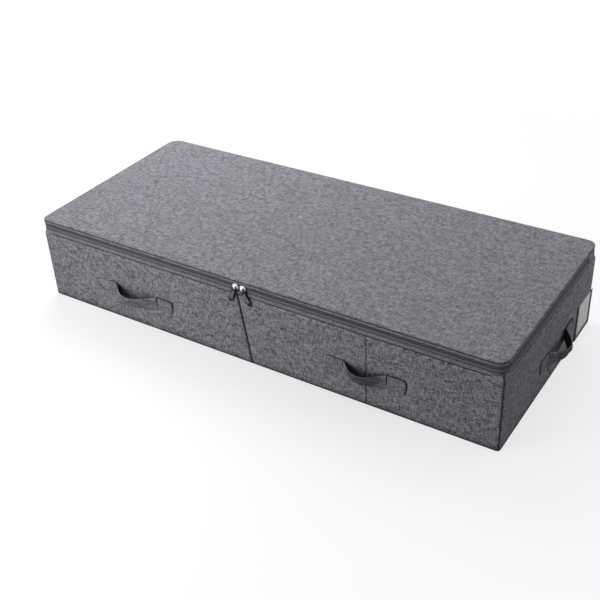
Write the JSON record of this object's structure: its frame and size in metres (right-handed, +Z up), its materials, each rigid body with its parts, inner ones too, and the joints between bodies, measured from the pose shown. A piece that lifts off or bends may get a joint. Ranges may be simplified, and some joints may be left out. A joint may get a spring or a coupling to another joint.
{
  "type": "under bed storage box",
  "caption": "Long low fabric storage box over stiff boards, with a zipped lid hinged along the back, strap handles and a label pocket on one end.",
  "frame": {"origin": "centre of the tray's footprint, on the plane the box rests on", "axes": "+X along the length to the end with the label pocket, -Y to the front with the two handles, +Z up"},
  "size_m": [1.0642, 0.4621, 0.18],
  "materials": {
    "linen_look_fabric": "heathered charcoal linen-look weave, matte",
    "handle_webbing": "same fabric doubled and stitched into straps",
    "dark_tape": "ribbed zip tape, seam binding and pocket border",
    "zip_coil": "nylon coil, dark grey",
    "lining": "thin dark non-woven",
    "grey_board": "grey card board stiffener",
    "nickel": "bright nickel plate",
    "pull_metal": "dark nickel",
    "clear_window": "clear flexible pocket window",
    "label_card": "blank pale grey card"
  },
  "bodies": {
    "tray": {"back_board_1": "grey_board", "back_board_2": "grey_board", "back_board_3": "grey_board", "back_board_4": "grey_board", "back_fabric_left": "linen_look_fabric", "back_fabric_right": "linen_look_fabric", "back_left_corner_seam": "dark_tape", "back_lining": "lining", "back_right_corner_seam": "dark_tape", "base_board_left": "lining", "base_board_right": "lining", "bottom_binding": "dark_tape", "bottom_fabric": "linen_look_fabric", "front_board_1": "grey_board", "front_board_2": "grey_board", "front_board_3": "grey_board", "front_board_4": "grey_board", "front_fabric_left": "linen_look_fabric", "front_fabric_right": "linen_look_fabric", "front_left_corner_seam": "dark_tape", "front_left_handle_tab_a": "handle_webbing", "front_left_handle_tab_b": "handle_webbing", "front_lining": "lining", "front_right_corner_seam": "dark_tape", "front_right_handle_tab_a": "handle_webbing", "front_right_handle_tab_b": "handle_webbing", "label_pocket_border": "dark_tape", "label_window": "clear_window", "left_end_board": "grey_board", "left_end_fabric": "linen_look_fabric", "left_end_handle_tab_a": "handle_webbing", "left_end_handle_tab_b": "handle_webbing", "left_end_lining": "lining", "left_zip_stop": "nickel", "lower_zip_coil": "zip_coil", "lower_zip_tape": "dark_tape", "rear_band": "linen_look_fabric", "right_end_board": "grey_board", "right_end_fabric": "linen_look_fabric", "right_end_handle_tab_a": "handle_webbing", "right_end_handle_tab_b": "handle_webbing", "right_end_lining": "lining", "right_zip_stop": "nickel"},
    "lid": {"lid_board_left": "grey_board", "lid_board_right": "grey_board", "lid_fabric": "linen_look_fabric", "lid_lining": "lining", "lid_piping": "linen_look_fabric", "upper_zip_coil": "zip_coil", "upper_zip_tape": "dark_tape"},
    "left_slider": {"left_slider_body": "nickel"},
    "right_slider": {"right_slider_body": "nickel"},
    "left_pull": {"left_pull_tab": "pull_metal"},
    "right_pull": {"right_pull_tab": "pull_metal"},
    "front_left_handle": {"front_left_handle_grip": "handle_webbing"},
    "front_right_handle": {"front_right_handle_grip": "handle_webbing"},
    "left_end_handle": {"left_end_handle_grip": "handle_webbing"},
    "right_end_handle": {"right_end_handle_grip": "handle_webbing"},
    "label_insert": {"label_card": "label_card"}
  },
  "joints": [
    {"name": "lid_hinge", "type": "hinge", "parent": "tray", "child": "lid", "pos_m": [0, 0.216, 0.177], "axis": [-1, 0, 0], "range_deg": [0, 200]},
    {"name": "left_slider_slide", "type": "slide", "parent": "tray", "child": "left_slider", "axis": [-1, 0, 0], "range_m": [0, 0.455]},
    {"name": "right_slider_slide", "type": "slide", "parent": "tray", "child": "right_slider", "axis": [1, 0, 0], "range_m": [0, 0.47]},
    {"name": "left_pull_swing", "type": "hinge", "parent": "left_slider", "child": "left_pull", "pos_m": [-0.0175, -0.2188, 0.1642], "axis": [-0.9205, 0, 0.3907], "range_deg": [0, 150]},
    {"name": "right_pull_swing", "type": "hinge", "parent": "right_slider", "child": "right_pull", "pos_m": [-0.0015, -0.2188, 0.1642], "axis": [-0.891, 0, -0.454], "range_deg": [0, 150]},
    {"name": "front_left_handle_swing", "type": "hinge", "parent": "tray", "child": "front_left_handle", "pos_m": [-0.257, -0.2186, 0.068], "axis": [-1, 0, 0], "range_deg": [-60, 70]},
    {"name": "front_right_handle_swing", "type": "hinge", "parent": "tray", "child": "front_right_handle", "pos_m": [0.248, -0.2186, 0.068], "axis": [-1, 0, 0], "range_deg": [-60, 70]},
    {"name": "left_end_handle_swing", "type": "hinge", "parent": "tray", "child": "left_end_handle", "pos_m": [-0.5036, 0.031, 0.06], "axis": [0, 1, 0], "range_deg": [-60, 70]},
    {"name": "right_end_handle_swing", "type": "hinge", "parent": "tray", "child": "right_end_handle", "pos_m": [0.5036, 0.031, 0.06], "axis": [0, -1, 0], "range_deg": [-60, 70]},
    {"name": "label_card_slide", "type": "slide", "parent": "tray", "child": "label_insert", "axis": [0, 0, 1], "range_m": [0, 0.06]}
  ]
}
